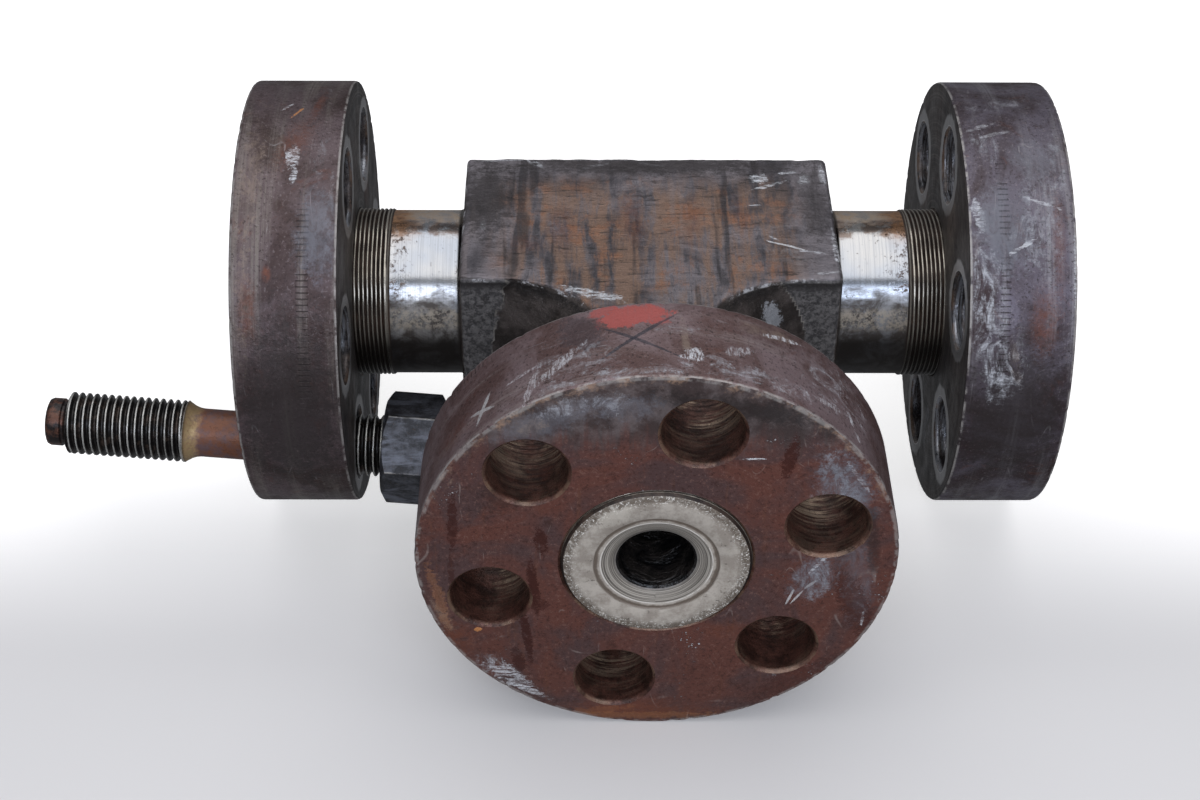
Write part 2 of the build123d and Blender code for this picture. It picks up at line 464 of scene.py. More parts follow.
def roughenBlock(piece):
    # sinks the skin unevenly, as scale has come off it, and leaves ragged flaps of scale at the front's ends
    b = block
    points = getPoints(piece)
    normals = np.empty(len(points) * 3)
    piece.data.vertex_normals.foreach_get("vector", normals)
    normals = normals.reshape(-1, 3)
    length, depth, height = (v * mm for v in b["size"])

    def rough(size, octaves, shift):
        return np.array([noise.fractal(Vector(p) / (size * mm) + shift, 0.8, 2.1, octaves) for p in points])

    swell = rough(b["swellSize"], 3, Vector((3, 1, 7)))
    grain = rough(b["grainSize"], 3, Vector((9, 4, 2)))
    ragged = rough(b["flapRagged"], 4, Vector((5, 8, 1)))
    sink = b["swell"] * (0.5 + 0.5 * swell) + b["grain"] * (0.5 + 0.5 * grain)
    x, y, z = points.T
    front = (y < -depth / 2 + 1.5 * mm) & (np.abs(x) < length / 2 - 0.5 * mm) & (y > -depth / 2 - 1 * mm)
    front &= (normals[:, 1] < -0.35) & (np.abs(z) < height / 2 - 0.8 * mm)
    line = np.where(x < 0, b["flapLeft"], b["flapRight"]) * mm + ragged * 5 * mm
    line -= np.maximum(z - 0.02, 0) * 0.35
    bare = np.clip((line - np.abs(x)) / (1 * mm), 0, 1)
    sink = sink + np.where(front, bare * b["flapStep"], 0)
    skin = piece.data.attributes.new("bareSkin", "FLOAT", "POINT")
    skin.data.foreach_set("value", np.where(front, bare, 1.0).astype(np.float32))
    onEnd = (np.abs(x) > length / 2 - 0.3 * mm) | (np.hypot(x, z) < 46 * mm) & (y < -60 * mm)
    sink = np.clip(np.where(onEnd, sink * 0.3, sink), 0, 3)
    points -= normals * (sink * mm)[:, None]
    setPoints(piece, points)


roughenBlock(blockPiece)
pick(blockPiece)
bpy.ops.object.shade_smooth()
print("block bored and roughened", len(blockPiece.data.polygons))


# finishes, built from nodes on each piece's own coordinates, in metres

class Finish:
    def __init__(self, name):
        self.material = bpy.data.materials.new(name)
        self.material.use_nodes = True
        self.tree = self.material.node_tree
        self.shader = self.tree.nodes["Principled BSDF"]
        self.place = self.add("TexCoord").outputs["Object"]
        self.colour = (0.5, 0.5, 0.5)

    def add(self, kind, inputs=None, **settings):
        node = self.tree.nodes.new("ShaderNode" + kind)
        for key, value in settings.items():
            setattr(node, key, value)
        for key, value in (inputs or {}).items():
            self.feed(node.inputs[key], value)
        return node

    def feed(self, socket, value):
        if isinstance(value, bpy.types.NodeSocket):
            self.tree.links.new(value, socket)
        elif socket.type == "RGBA":
            socket.default_value = (*value, 1)
        else:
            socket.default_value = value

    def calc(self, operation, first, second=0.5, third=0.5):
        return self.add("Math", {0: first, 1: second, 2: third}, operation=operation).outputs[0]

    def ease(self, value, low, high, start=0.0, end=1.0):
        inputs = {"Value": value, "From Min": low, "From Max": high, "To Min": start, "To Max": end}
        return self.add("MapRange", inputs, interpolation_type="SMOOTHSTEP").outputs[0]

    def noise(self, scale, detail=4, rough=0.6, where=None, twist=0.0):
        inputs = {"Vector": where or self.place, "Scale": scale, "Detail": detail, "Roughness": rough,
                  "Distortion": twist}
        return self.add("TexNoise", inputs).outputs["Fac"]

    def cells(self, scale, where=None):
        return self.add("TexVoronoi", {"Vector": where or self.place, "Scale": scale}).outputs["Distance"]

    def near(self, value, centre, wide, narrow):  # 1 within narrow of the centre, fading to 0 at wide
        return self.ease(self.calc("ABSOLUTE", self.calc("SUBTRACT", value, centre)), wide, narrow)

    def mix(self, factor, below, above):
        return self.add("Mix", {0: factor, 6: below, 7: above}, data_type="RGBA").outputs[2]

    def stretch(self, scale, where=None, turn=(0, 0, 0), move=(0, 0, 0)):
        inputs = {"Vector": where or self.place, "Location": move, "Rotation": turn, "Scale": scale}
        return self.add("Mapping", inputs).outputs[0]

    def within(self, place):  # the coordinates inside a piece's own place, so that X runs along it
        inputs = {"Vector": self.place, "Location": place.to_translation(), "Rotation": place.to_euler(),
                  "Scale": (1, 1, 1)}
        return self.add("Mapping", inputs, vector_type="TEXTURE").outputs[0]

    def split(self, where=None):
        return self.add("SeparateXYZ", {0: where or self.place}).outputs

    def join(self, x=0.0, y=0.0, z=0.0):
        return self.add("CombineXYZ", {0: x, 1: y, 2: z}).outputs[0]

    def times(self, *masks):
        total = masks[0]
        for mask in masks[1:]:
            total = self.calc("MULTIPLY", total, mask)
        return total

    def most(self, *masks):
        total = masks[0]
        for mask in masks[1:]:
            total = self.calc("MAXIMUM", total, mask)
        return total

    def length(self, where):
        return self.add("VectorMath", {0: where}, operation="LENGTH").outputs["Value"]

    def spot(self, flatWay, ragged, mark, hard=0.75):
        # 1 inside a ragged spot: mark is (centre, centre, half width, half height, turn, raggedness), in mm
        x, y, wide, tall, turn, torn = mark
        inputs = {"Vector": flatWay, "Location": (x * mm, y * mm, 0), "Rotation": (0, 0, radians(turn)),
                  "Scale": (wide * mm, tall * mm, 1)}
        local = self.add("Mapping", inputs, vector_type="TEXTURE").outputs[0]
        away = self.calc("MULTIPLY_ADD", ragged, torn, self.length(local))
        return self.ease(away, 1.0, hard)

    def polar(self, axis):
        # distance along the axis, radius, and arc at the rim, for a piece turned about X or about -Y
        x, y, z = self.split()
        along, side = (self.calc("ABSOLUTE", x), y) if axis == "X" else (self.calc("MULTIPLY", y, -1.0), x)
        radius = self.length(self.join(side, z))
        arc = self.calc("MULTIPLY", self.calc("ARCTAN2", side, z), flange["radius"] * mm)
        return along, radius, arc, side, z

    def lay(self, over, *masks):  # lays a colour over the finish where all the masks are strong
        self.colour = self.mix(self.times(*masks), self.colour, over)

    def paint(self, rough, metal, bumps=()):
        self.feed(self.shader.inputs["Base Color"], self.colour)
        self.feed(self.shader.inputs["Roughness"], rough)
        self.feed(self.shader.inputs["Metallic"], metal)
        normal = None
        for height, depth in bumps:
            inputs = {"Height": height, "Distance": depth * mm, "Strength": 1.0}
            if normal:
                inputs["Normal"] = normal
            normal = self.add("Bump", inputs).outputs[0]
        if normal:
            self.tree.links.new(normal, self.shader.inputs["Normal"])
        return self.material


stains = {
    "chalk": (0.66, 0.68, 0.73), "smear": (0.42, 0.435, 0.48), "tan": (0.25, 0.19, 0.155),
    "rust": (0.15, 0.048, 0.027), "red": (0.33, 0.07, 0.062), "blue": (0.03, 0.032, 0.045),
    # the dark soot colour also serves as painted shade, where it is laid low on the side rims and on the
    # flanges' inner faces; it also darkens the forging's top towards its far edge and ends
    "orange": (0.4, 0.17, 0.06), "sootAndShade": (0.035, 0.029, 0.03), "wet": (0.045, 0.012, 0.009),
    # the bluish haze colour also serves as a painted sheen, where it is laid across the middle of the side
    # rims
    "worn": (0.42, 0.4, 0.39), "line": (0.62, 0.62, 0.64), "hazeAndSheen": (0.145, 0.148, 0.178),
    "char": (0.014, 0.011, 0.011),
}

softKinds = ("smear", "rust", "sootAndShade", "tan", "hazeAndSheen", "char")


def addMarks(m, flatWay, marks):
    # lays each ragged mark (its kind, its strength, then what spot takes) over the finish,
    # and returns how much dry chalk and wet oil lie there
    fine, coarse = m.noise(900, 4, 0.75, flatWay), m.noise(190, 5, 0.75, flatWay)
    ragged = m.calc("ADD", m.calc("MULTIPLY", fine, 0.6), m.calc("MULTIPLY_ADD", coarse, 1.0, -0.8))
    strokes = m.noise(1, 5, 0.75, m.stretch((170, 900, 1), flatWay, turn=(0, 0, radians(35))), 0.6)
    swirl = m.noise(1, 7, 0.75, m.stretch((115, 48, 1), flatWay), 1.8)
    texture = {"chalk": m.times(m.ease(strokes, 0.42, 0.56), m.ease(fine, 0.36, 0.52, 0.35, 1.0)),
               "smear": m.times(m.ease(swirl, 0.44, 0.62), m.ease(strokes, 0.34, 0.6, 0.3, 1.0)),
               "rust": m.ease(coarse, 0.36, 0.6, 0.15, 1.0), "tan": m.ease(swirl, 0.4, 0.62, 0.1, 1.0),
               "wet": m.ease(coarse, 0.36, 0.5, 0.3, 1.0), "hazeAndSheen": m.ease(swirl, 0.36, 0.6, 0.35, 1.0),
               "line": m.ease(fine, 0.36, 0.5, 0.45, 1.0), "red": m.ease(strokes, 0.3, 0.48, 0.7, 1.0)}
    dry, wet = 0.0, 0.0
    for kind, strength, *mark in marks:
        mask = m.times(m.spot(flatWay, ragged, mark, 0.35 if kind in softKinds else 0.75), strength)
        if kind in texture:
            mask = m.times(mask, texture[kind])
        m.lay(stains[kind], mask)
        if kind in ("chalk", "smear", "red", "orange"):
            dry = m.most(dry, mask)
        if kind == "wet":
            wet = m.most(wet, mask)
    return dry, wet


def scratches(m, flatWay, size, shift):
    # thin curved scratch lines where a slow noise crosses its middle, broken up into short runs
    slow = m.noise(size, 1, 0.4, m.stretch((1, 0.35, 1), flatWay, (0, 0, shift), (shift, 0, 0)), 0.4)
    thin = m.near(slow, 0.5, 0.006, 0.001)
    broken = m.noise(size * 1.6, 3, 0.6, m.stretch((1, 1, 1), flatWay, move=(0.3, shift, 0)))
    return m.times(thin, m.ease(broken, 0.55, 0.66))


# the rims: a purple-brown turned skin, with streaks running round, scribed ticks, chalk and rust

rims = {
    "left": {
        "base": (0.045, 0.026, 0.025), "mauve": (0.105, 0.075, 0.082), "streak": (0.19, 0.165, 0.15),
        "streakFrom": 0.47, "ticks": (149.6, 154.8, 2.65), "tickArc": (-46, -150), "edge": 0.8,
        "marks": [
            ("chalk", 0.9, 158, -29, 3.4, 7, 12, 2.6), ("chalk", 0.7, 157.5, -39, 1.6, 5, 5, 3.0),
            ("chalk", 0.6, 164, 6, 0.8, 6, 40, 2.6), ("orange", 0.8, 159, 1, 0.7, 5, 30, 2.6),
            ("rust", 0.9, 167.5, -84.5, 2.6, 4.5, 0, 1.6), ("rust", 0.6, 150, 8, 3, 16, 8, 2.4),
            ("smear", 0.4, 146, -30, 3, 16, 6, 2.4), ("rust", 0.5, 158, -20, 9, 22, 20, 2.6),
            ("smear", 0.3, 141, -58, 2, 24, 3, 2.8), ("rust", 0.5, 176, -100, 5, 20, 0, 2.4),
            # painted shade: the soft dark mark at arc -150 darkens the whole width of the rim's lower front
            ("sootAndShade", 0.8, 160, -150, 34, 62, 0, 1.5), ("tan", 0.45, 176, -35, 6, 45, 2, 3.0),
            # painted sheen: the bluish mark at arc -66 brightens the middle of the rim
            ("hazeAndSheen", 0.75, 146, -66, 12, 26, 0, 1.6), ("tan", 0.35, 178, -95, 4, 34, 2, 3.2),
        ],
    },
    "right": {
        "base": (0.038, 0.023, 0.026), "mauve": (0.112, 0.097, 0.125), "streak": (0.23, 0.22, 0.24),
        "streakFrom": 0.5, "ticks": (150.6, 155, 2.65), "tickArc": (-20, -150), "edge": 0.9,
        "marks": [
            ("chalk", 0.75, 141.5, -58, 2.6, 9, 8, 2.8), ("smear", 0.55, 144, -62, 4.5, 14, -10, 2.6),
            ("chalk", 0.4, 147, -9, 8, 1.4, 25, 2.8), ("chalk", 0.35, 152, -14, 8, 1.1, 18, 2.8),
            ("smear", 0.4, 136, -48, 2.5, 12, 0, 2.6), ("tan", 0.35, 140, -72, 2, 7, 0, 2.6),
            # painted shade: the soft dark mark at arc -150 darkens the whole width of the rim's lower front
            ("smear", 0.3, 160, 10, 20, 5, 10, 3.0), ("sootAndShade", 0.75, 160, -150, 34, 52, 0, 1.5),
            # painted sheen: the bluish mark at arc -64 brightens the middle of the rim
            ("hazeAndSheen", 0.85, 152, -64, 17, 27, 0, 1.4), ("smear", 0.85, 147, -112, 10, 24, 14, 2.4),
            ("smear", 0.85, 153, -130, 10, 15, -20, 2.4), ("smear", 0.7, 146, -86, 7, 16, 10, 2.4),
            ("smear", 0.6, 143, -88, 6, 22, 4, 2.6), ("smear", 0.5, 168, -60, 12, 30, 0, 2.8),
            ("chalk", 0.6, 160, -72, 9, 1.0, 30, 2.4), ("chalk", 0.5, 170, -52, 8, 1.0, -20, 2.4),
            ("chalk", 0.6, 183, -80, 0.8, 20, 0, 2.8), ("rust", 0.4, 176, -70, 4, 30, 0, 2.8),
            ("smear", 0.3, 156, -110, 5, 24, 12, 3.0), ("tan", 0.4, 158, -122, 3, 12, 12, 2.8),
            ("smear", 0.6, 148, -22, 6, 12, 30, 2.6), ("smear", 0.5, 178, -30, 4, 24, 4, 2.8),
            ("rust", 0.55, 170, -105, 8, 20, 0, 2.4), ("hazeAndSheen", 0.5, 168, -30, 14, 16, 0, 1.8),
        ],
    },
    "branch": {
        "base": (0.112, 0.064, 0.061), "mauve": (0.215, 0.155, 0.164), "streak": (0.3, 0.245, 0.24),
        "streakFrom": 0.52, "ticks": (139.5, 142.5, 2.4), "tickArc": (-112, -62), "edge": 0.8,
        "marks": [
            ("red", 0.95, 145.5, -10.5, 7.5, 16, 8, 1.5), ("red", 0.8, 140.5, -23, 3.5, 7, 20, 1.8),
            ("red", 0.6, 150, 0, 2.4, 4, 0, 2.2), ("blue", 0.75, 158.5, -9, 1.0, 21, 40, 1.2),
            ("blue", 0.7, 161, -9, 0.9, 20, -34, 1.2), ("blue", 0.4, 151, -32, 14, 9, 30, 2.4),
            ("tan", 0.65, 160, 9.5, 17, 2.4, 4, 2.2), ("tan", 0.6, 145, 45, 5, 15, 10, 2.2),
            ("chalk", 0.7, 145, 52, 1.4, 11, 14, 2.8), ("chalk", 0.8, 170, 12.6, 4, 5, 30, 2.8),
            ("chalk", 0.45, 163.5, 30, 2.5, 7, 20, 3.0), ("smear", 0.5, 170, 22, 7, 9, 0, 2.6),
            ("line", 0.85, 170, -77.5, 1.3, 9, 66, 1.2), ("line", 0.8, 171, -78, 1.2, 7.5, -18, 1.2),
            ("chalk", 0.4, 164, -58, 1.2, 8, 10, 2.0), ("chalk", 0.4, 173, -53, 2.2, 10, 70, 2.6),
            ("smear", 0.7, 180, -26, 4, 40, 0, 2.6), ("smear", 0.6, 176, 40, 6, 34, 6, 2.6),
            ("smear", 0.5, 166, -34, 12, 24, -20, 2.6), ("smear", 0.6, 160, 80, 14, 22, 10, 2.4),
            ("chalk", 0.5, 166, -40, 3, 12, 40, 2.8), ("smear", 0.5, 154, 8, 3, 9, 8, 3.0),
            ("smear", 0.45, 178, 6, 4, 18, 4, 2.6), ("chalk", 0.6, 168, 87, 4.5, 1.4, 20, 2.6),
            ("chalk", 0.55, 176, 91, 3, 1.6, 50, 2.6), ("chalk", 0.4, 171, 72, 1.5, 11, 8, 2.8),
            ("rust", 0.35, 170, -95, 9, 26, 0, 2.6), ("smear", 0.3, 150, 75, 9, 22, 6, 2.8),
        ],
    },
}


def rimFinish(name, axis, look):
    m = Finish(name)
    along, _, arc, _, _ = m.polar(axis)
    flatWay = m.join(along, arc)
    cloud = m.noise(24, 5, 0.65, None, 0.8)
    blotch = m.noise(95, 6, 0.7)
    pits = m.noise(700, 3, 0.7)
    lines = m.noise(1, 3, 0.65, m.stretch((1300, 10, 1), flatWay))
    bands = m.noise(1, 4, 0.6, m.stretch((120, 9, 1), flatWay), 0.4)
    m.colour = m.mix(m.ease(cloud, 0.36, 0.62), look["base"], look["mauve"])
    m.lay(look["streak"], m.ease(bands, look["streakFrom"], look["streakFrom"] + 0.25),
          m.ease(lines, 0.3, 0.6), 0.75)
    m.lay((0.03, 0.016, 0.014), m.ease(blotch, 0.56, 0.74), 0.75)
    m.lay((0.11, 0.04, 0.028), m.ease(m.noise(60, 6, 0.75, None, 1.0), 0.56, 0.7), 0.5)
    m.lay((0.022, 0.013, 0.013), m.ease(pits, 0.56, 0.66), 0.7)
    m.lay((0.26, 0.22, 0.23), m.ease(pits, 0.42, 0.34), 0.3)
    m.lay((0.42, 0.4, 0.42), m.most(scratches(m, flatWay, 30, 0.4), scratches(m, flatWay, 42, 1.7)), 0.4)
    start, end, pitch = look["ticks"]
    scribed = m.ease(m.calc("PINGPONG", arc, pitch / 2 * mm), 0.34 * mm, 0.16 * mm)
    between = m.times(m.ease(along, (start - 0.15) * mm, start * mm),
                      m.ease(along, (end + 0.15) * mm, end * mm))
    first, last = look["tickArc"]
    half = abs(first - last) / 2
    shown = m.times(m.near(arc, (first + last) / 2 * mm, half * mm, (half - 18) * mm),
                    m.ease(m.noise(70, 3), 0.36, 0.52))
    ticks = m.times(scribed, between, shown)
    m.lay((0.016, 0.01, 0.01), ticks, 0.75)
    dry, _ = addMarks(m, flatWay, look["marks"])
    outer = m.ease(along, (flangeFar - 1.6) * mm, (flangeFar - 0.7) * mm)
    inner = m.ease(along, (flangeNear + 1.6) * mm, (flangeNear + 0.8) * mm)
    worn = m.times(m.most(outer, inner), m.ease(m.noise(130, 4, 0.7), 0.38, 0.56), look["edge"])
    m.lay(stains["worn"], worn, 0.8)
    rough = m.ease(m.calc("ADD", blotch, m.calc("MULTIPLY", dry, 0.8)), 0.3, 0.9, 0.3, 0.72)
    metal = m.calc("SUBTRACT", 0.45, m.calc("MULTIPLY", dry, 0.42))
    ringMark = m.ease(m.cells(60), 0.05, 0.0)
    bumps = [(bands, 0.2), (blotch, 0.4), (lines, 0.08), (pits, 0.22),
             (m.calc("MULTIPLY", m.most(ticks, ringMark), -1.0), 0.25)]
    return m.paint(rough, metal, bumps)


# the faces: fine turning rings under soot, rust, dried drips and chalk, with painted shade low on the inner
# faces

faces = {
    "branchOuter": {
        "base": (0.118, 0.044, 0.034), "other": (0.078, 0.043, 0.043), "dark": (0.042, 0.017, 0.014),
        "sootAndShade": 1.0, "drips": 1.0, "rings": 0.05,
        "marks": [
            ("wet", 0.85, -47.5, 12, 3, 8, 8, 2.2), ("wet", 0.9, -51, -14, 2.6, 17, 5, 2.0),
            ("wet", 0.9, -54.5, -42, 2.2, 22, 6, 2.0), ("wet", 0.8, -58, -60, 3, 9, 12, 2.4),
            ("wet", 0.6, -49, -25, 5, 4, 0, 2.6), ("wet", 0.75, -83.5, 22, 2.4, 17, -3, 2.0),
            ("wet", 0.6, -85, -6, 1.6, 12, 0, 2.4), ("orange", 0.9, -75, -40, 1.9, 1.5, 0, 1.6),
            ("rust", 0.75, -84, -44, 9, 17, 28, 2.2), ("tan", 0.45, -90, -30, 4, 13, 18, 2.6),
            ("chalk", 0.7, -62, -69, 13, 5.5, -40, 2.8), ("chalk", 0.6, -53, -79, 9, 2.2, -30, 2.8),
            ("smear", 0.6, -70, -62, 8, 7, -40, 2.6), ("rust", 0.6, -15, -88, 34, 6, 3, 2.4),
            ("orange", 0.2, -25, -92, 18, 2.4, 8, 3.2), ("smear", 0.9, 74, 43, 7, 22, 24, 2.2),
            ("chalk", 0.55, 80, 47, 1.0, 12, 32, 2.4), ("chalk", 0.5, 74, 36, 0.9, 9, 10, 2.6),
            ("smear", 0.5, 64, 36, 9, 5, 30, 2.6), ("wet", 0.8, 51.5, 58, 3.2, 12, -8, 2.0),
            ("smear", 0.85, 67, -9, 9, 15, -20, 2.4), ("line", 0.75, 56.5, -20, 0.6, 5, -18, 1.4),
            ("line", 0.7, 59.5, -20, 0.6, 5, -32, 1.4), ("line", 0.6, 64.5, -13, 0.7, 4, -45, 1.4),
            ("hazeAndSheen", 0.85, 75, 42, 13, 26, 24, 1.6), ("hazeAndSheen", 0.7, 66, -8, 12, 18, -20, 1.6),
            ("hazeAndSheen", 0.5, 84, -8, 9, 34, 6, 1.8), ("char", 0.6, 28, 84, 44, 7, -10, 2.0),
            ("hazeAndSheen", 0.55, -42, 78, 30, 9, 26, 1.8), ("hazeAndSheen", 0.5, -14, 84, 18, 8, 4, 1.8),
            ("char", 0.5, 88, 14, 4, 26, 8, 2.0), ("rust", 0.8, 0, -92, 52, 5, 0, 2.2),
            ("orange", 0.22, -6, -95, 40, 2.4, 0, 3.2), ("orange", 0.22, -91, -20, 2.6, 22, 10, 3.2),
            ("char", 0.45, -62, 40, 18, 12, 40, 2.2), ("chalk", 0.5, 67, -1, 0.8, 8, -35, 2.4),
            ("wet", 0.55, 84, -25, 7, 26, 22, 2.4), ("wet", 0.45, 60, -72, 26, 7, 36, 2.6),
            ("chalk", 0.8, 37, 57.5, 6, 0.6, 0, 2.4), ("chalk", 0.6, 88, -34, 0.7, 4, 0, 2.4),
            ("sootAndShade", 0.55, 46, 81, 14, 6, -18, 2.6), ("smear", 0.55, -38, 84, 12, 5, 24, 2.8),
            ("smear", 0.4, -20, 88, 8, 6, 10, 2.8), ("tan", 0.5, -50, 74, 8, 4, 30, 2.8),
            ("rust", 0.5, 30, -40, 12, 7, 20, 2.8),
        ],
    },
    "inner": {
        "base": (0.05, 0.04, 0.038), "other": (0.03, 0.026, 0.027), "dark": (0.014, 0.011, 0.01),
        "sootAndShade": 0.0, "drips": 0.0, "rings": 0.12,
        "marks": [
            ("smear", 0.4, -30, -60, 12, 22, 20, 2.6), ("rust", 0.4, 50, 30, 14, 20, 0, 2.6),
            # painted shade: the soft dark mark centred 80 mm below the axis darkens the face's lower part
            ("sootAndShade", 0.6, 0, -80, 60, 20, 0, 2.0), ("tan", 0.35, -20, 60, 20, 14, 30, 2.6),
        ],
    },
    "sideOuter": {
        "base": (0.085, 0.042, 0.036), "other": (0.058, 0.042, 0.044), "dark": (0.03, 0.016, 0.014),
        "sootAndShade": 0.0, "drips": 0.4, "rings": 0.05,
        "marks": [
            ("rust", 0.6, 40, 50, 20, 12, 30, 2.4), ("smear", 0.5, -50, 40, 12, 18, 20, 2.6),
            ("wet", 0.7, -20, -62, 3, 22, 4, 2.2), ("chalk", 0.6, 62, -40, 12, 4, 50, 2.8),
            ("orange", 0.5, 20, -88, 18, 2, 8, 2.8), ("sootAndShade", 0.6, 0, 84, 50, 12, 0, 2.2),
        ],
    },
}


def faceFinish(name, axis, look):
    m = Finish(name)
    _, radius, arc, side, z = m.polar(axis)
    flatWay = m.join(side, z)
    cloud = m.noise(26, 5, 0.65, None, 0.6)
    blotch = m.noise(110, 6, 0.72)
    grit = m.noise(650, 3, 0.7)
    rings = m.noise(1, 3, 0.7, m.stretch((1500, 4, 1), m.join(radius, arc)))
    runs = m.noise(1, 5, 0.7, m.stretch((190, 16, 1), flatWay), 0.3)
    m.colour = m.mix(m.ease(cloud, 0.38, 0.6), look["base"], look["other"])
    m.lay(look["dark"], m.ease(blotch, 0.55, 0.72), 0.7)
    m.lay((0.15, 0.06, 0.035), m.ease(runs, 0.56, 0.7), 0.35)
    m.lay((0.2, 0.14, 0.12), m.ease(rings, 0.5, 0.7), look["rings"] * 2)
    m.lay(look["dark"], m.ease(grit, 0.54, 0.66), 0.6)
    m.lay((0.22, 0.12, 0.1), m.ease(grit, 0.42, 0.34), 0.4)
    m.lay((0.4, 0.34, 0.32), m.most(scratches(m, flatWay, 30, 0.9), scratches(m, flatWay, 44, 2.3)), 0.3)
    height = m.calc("ADD", z, m.calc("MULTIPLY_ADD", runs, 46 * mm, -23 * mm))
    if look["sootAndShade"]:
        upper = m.times(m.ease(height, 58 * mm, 76 * mm), look["sootAndShade"])
        sootColour = m.mix(m.ease(m.noise(80, 5, 0.7), 0.4, 0.66), (0.045, 0.034, 0.034),
                           (0.125, 0.105, 0.108))
        m.lay(sootColour, upper, 0.9)
    if look["drips"]:
        short = m.calc("MULTIPLY_ADD", m.noise(260, 4, 0.75), 22 * mm, radius)
        dripped = m.times(m.ease(short, 106 * mm, 112 * mm), m.ease(z, 20 * mm, 60 * mm),
                          m.ease(blotch, 0.44, 0.6), look["drips"])
        m.lay((0.36, 0.23, 0.16), dripped, 0.65)
        specks = m.times(m.ease(grit, 0.63, 0.69), m.ease(m.noise(38, 4), 0.58, 0.68))
        m.lay(stains["chalk"], specks, 0.8)
    dry, wet = addMarks(m, flatWay, look["marks"])
    brim = m.times(m.ease(radius, 97.6 * mm, 98.6 * mm), m.ease(m.noise(120, 4, 0.7), 0.42, 0.56))
    m.lay(stains["worn"], brim, 0.4)
    rough = m.ease(m.calc("ADD", m.calc("ADD", blotch, dry), m.calc("MULTIPLY", wet, -0.55)), 0.1, 1.2,
                   0.22, 0.8)
    metal = m.calc("SUBTRACT", 0.25, m.calc("MULTIPLY", dry, 0.22))
    bumps = [(cloud, 0.4), (blotch, 0.4), (rings, look["rings"] * 0.8), (grit, 0.2), (dry, 0.1)]
    return m.paint(rough, metal, bumps)


def innerFaceFinish(name, axis, turn):
    # dark turned steel, with bright rings worn by the nuts round the bolt holes
    m = Finish(name)
    _, radius, arc, side, z = m.polar(axis)
    look = faces["inner"]
    flatWay = m.join(side, z)
    blotch, grit = m.noise(90, 6, 0.7), m.noise(600, 3, 0.7)
    rings = m.noise(1, 3, 0.7, m.stretch((1400, 4, 1), m.join(radius, arc)))
    m.colour = m.mix(m.ease(m.noise(28, 5, 0.65), 0.4, 0.6), look["base"], look["other"])
    m.lay((0.2, 0.18, 0.17), m.ease(rings, 0.45, 0.68), 0.5)
    m.lay(look["dark"], m.ease(blotch, 0.54, 0.7), 0.7)
    # folding the face into six equal wedges puts every hole at the same spot
    round6 = m.calc("ARCTAN2", side, z)
    wedge = m.calc("WRAP", m.calc("SUBTRACT", round6, turn), radians(30), radians(-30))
    px = m.calc("SUBTRACT", m.times(radius, m.calc("COSINE", wedge)), flange["boltCircle"] * mm)
    py = m.times(radius, m.calc("SINE", wedge))
    away = m.length(m.join(px, py))
    scratch = m.noise(1, 4, 0.7, m.stretch((260, 9, 1), m.join(m.calc("ARCTAN2", py, px), away)))
    edge = m.calc("MULTIPLY_ADD", blotch, 5 * mm, away)
    rubbed = m.times(m.ease(edge, 26.5 * mm, 24.5 * mm), m.ease(scratch, 0.34, 0.56, 0.45, 1.0))
    m.lay((0.5, 0.49, 0.5), rubbed, 0.85)
    addMarks(m, flatWay, look["marks"])
    lip = m.ease(away, 18.6 * mm, 18 * mm)
    m.lay((0.75, 0.75, 0.77), lip, 0.85)
    rough = m.ease(m.calc("SUBTRACT", blotch, m.times(rubbed, 0.3)), 0.1, 0.8, 0.28, 0.62)
    metal = m.calc("ADD", 0.4, m.times(rubbed, 0.4))
    return m.paint(rough, metal, [(blotch, 0.3), (rings, 0.07), (scratch, 0.06), (grit, 0.14)])


holes = {
    "X": {
        "base": (0.09, 0.075, 0.072), "deep": (0.025, 0.022, 0.024), "rubbed": (0.5, 0.52, 0.58),
        "metal": 0.6, "across": (700, 40, 40),
    },
    "Y": {
        "base": (0.115, 0.05, 0.038), "deep": (0.04, 0.019, 0.015), "rubbed": (0.56, 0.42, 0.31),
        "metal": 0.45, "across": (40, 700, 40),
    },
}


def holeFinish(name, axis):
    # bolt hole walls: stained and damp, paler deep inside where the studs have rubbed
    look = holes[axis]
    m = Finish(name)
    along, _, _, _, _ = m.polar(axis)
    blotch, grit = m.noise(120, 6, 0.7), m.noise(700, 3, 0.7)
    rings = m.noise(1, 4, 0.7, m.stretch(look["across"]))
    m.colour = m.mix(m.ease(blotch, 0.4, 0.62), look["base"], look["deep"])
    m.lay(look["deep"], m.ease(grit, 0.54, 0.66), 0.6)
    inside = m.ease(along, 172 * mm, 158 * mm, 0.15, 1.0)
    rubbed = m.times(m.ease(m.noise(34, 4, 0.6), 0.42, 0.58), m.ease(rings, 0.42, 0.6), inside)
    m.lay(look["rubbed"], rubbed, 0.8)
    mouth = m.most(m.ease(along, (flangeFar - 1.6) * mm, (flangeFar - 0.7) * mm),
                   m.ease(along, (flangeNear + 1.6) * mm, (flangeNear + 0.7) * mm))
    bright = m.times(mouth, m.ease(m.noise(100, 4), 0.44, 0.58))
    m.lay((0.34, 0.22, 0.15), bright, 0.35)
    rough = m.ease(grit, 0.3, 0.7, 0.24, 0.46)
    metal = m.calc("ADD", look["metal"], m.times(rubbed, 0.2))
    return m.paint(rough, metal, [(blotch, 0.5), (rings, 0.1), (grit, 0.18)])


# the spigots: bright turned necks with brown staining, dark threads, grey lens seats and an oily bore; the
# necks' and threads' undersides carry painted shade

necks = {
    "bright": (0.6, 0.59, 0.585), "tan": (0.33, 0.22, 0.12), "brown": (0.13, 0.06, 0.025),
    "lowerShade": (0.07, 0.058, 0.052),
}


